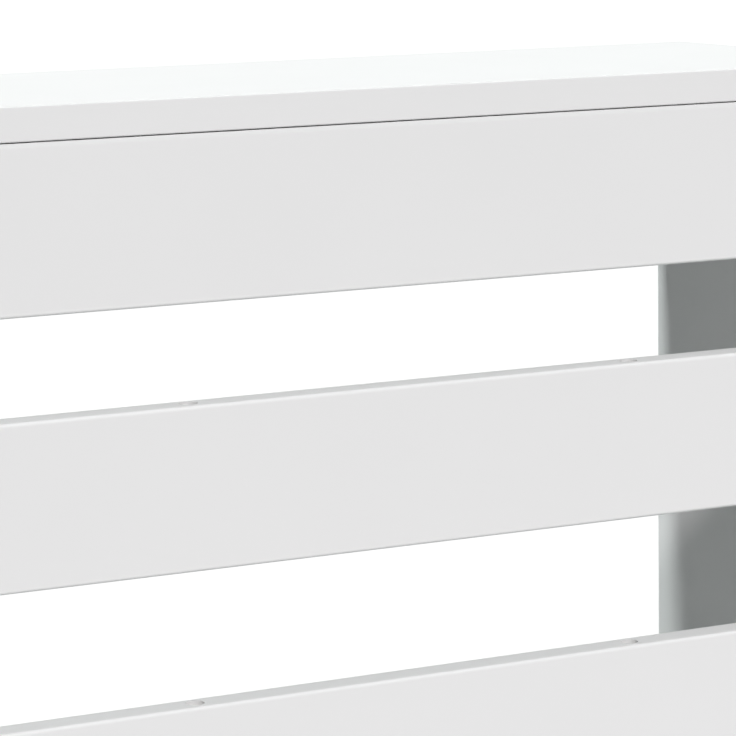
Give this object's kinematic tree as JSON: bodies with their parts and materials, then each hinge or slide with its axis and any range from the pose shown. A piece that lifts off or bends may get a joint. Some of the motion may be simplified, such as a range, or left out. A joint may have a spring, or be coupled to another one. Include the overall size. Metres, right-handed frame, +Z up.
{
  "type": "radiator cover cabinet",
  "caption": "Open-backed radiator cover cabinet: horizontal slats between two side panels under a flat top board, on glides, held by cam fittings and dowels.",
  "frame": {"origin": "on the floor, midway across the width and the depth", "axes": "+X to the right seen from the front, +Y from the slatted front to the open back at the wall, +Z up"},
  "size_m": [0.98, 0.2, 0.835],
  "materials": {
    "white_board": "satin white melamine on particleboard, white edge band",
    "cam_zinc": "die-cast zinc, matt",
    "bolt_steel": "zinc-plated turned steel",
    "bracket_steel": "zinc-plated pressed steel",
    "dowel_beech": "plain fluted beech",
    "glide_plastic": "white polyethylene with a steel nail"
  },
  "bodies": {
    "root": {"top_board": "white_board", "side_panel_left": "white_board", "side_panel_right": "white_board", "slat_1": "white_board", "slat_2": "white_board", "slat_3": "white_board", "slat_4": "white_board", "slat_5": "white_board", "slat_6": "white_board", "cam_slat_1_left": "cam_zinc", "cam_slat_1_right": "cam_zinc", "cam_slat_2_left": "cam_zinc", "cam_slat_2_right": "cam_zinc", "cam_slat_3_left": "cam_zinc", "cam_slat_3_right": "cam_zinc", "cam_slat_4_left": "cam_zinc", "cam_slat_4_right": "cam_zinc", "cam_slat_5_left": "cam_zinc", "cam_slat_5_right": "cam_zinc", "cam_slat_6_left": "cam_zinc", "cam_slat_6_right": "cam_zinc", "bolt_slat_1_left": "bolt_steel", "bolt_slat_1_right": "bolt_steel", "bolt_slat_2_left": "bolt_steel", "bolt_slat_2_right": "bolt_steel", "bolt_slat_3_left": "bolt_steel", "bolt_slat_3_right": "bolt_steel", "bolt_slat_4_left": "bolt_steel", "bolt_slat_4_right": "bolt_steel", "bolt_slat_5_left": "bolt_steel", "bolt_slat_5_right": "bolt_steel", "bolt_slat_6_left": "bolt_steel", "bolt_slat_6_right": "bolt_steel", "dowel_slat_2_left": "dowel_beech", "dowel_slat_2_right": "dowel_beech", "dowel_slat_3_left": "dowel_beech", "dowel_slat_3_right": "dowel_beech", "dowel_slat_4_left": "dowel_beech", "dowel_slat_4_right": "dowel_beech", "dowel_slat_5_left": "dowel_beech", "dowel_slat_5_right": "dowel_beech", "dowel_slat_6_left": "dowel_beech", "dowel_slat_6_right": "dowel_beech", "dowel_top_1": "dowel_beech", "dowel_top_2": "dowel_beech", "dowel_top_3": "dowel_beech", "dowel_top_4": "dowel_beech", "cam_panel_left": "cam_zinc", "cam_panel_right": "cam_zinc", "bolt_panel_left": "bolt_steel", "bolt_panel_right": "bolt_steel", "dowel_panel_left": "dowel_beech", "dowel_panel_right": "dowel_beech", "glide_front_left": "glide_plastic", "glide_front_right": "glide_plastic", "glide_back_left": "glide_plastic", "glide_back_right": "glide_plastic", "wall_bracket_left": "bracket_steel", "wall_bracket_right": "bracket_steel"}
  },
  "joints": []
}
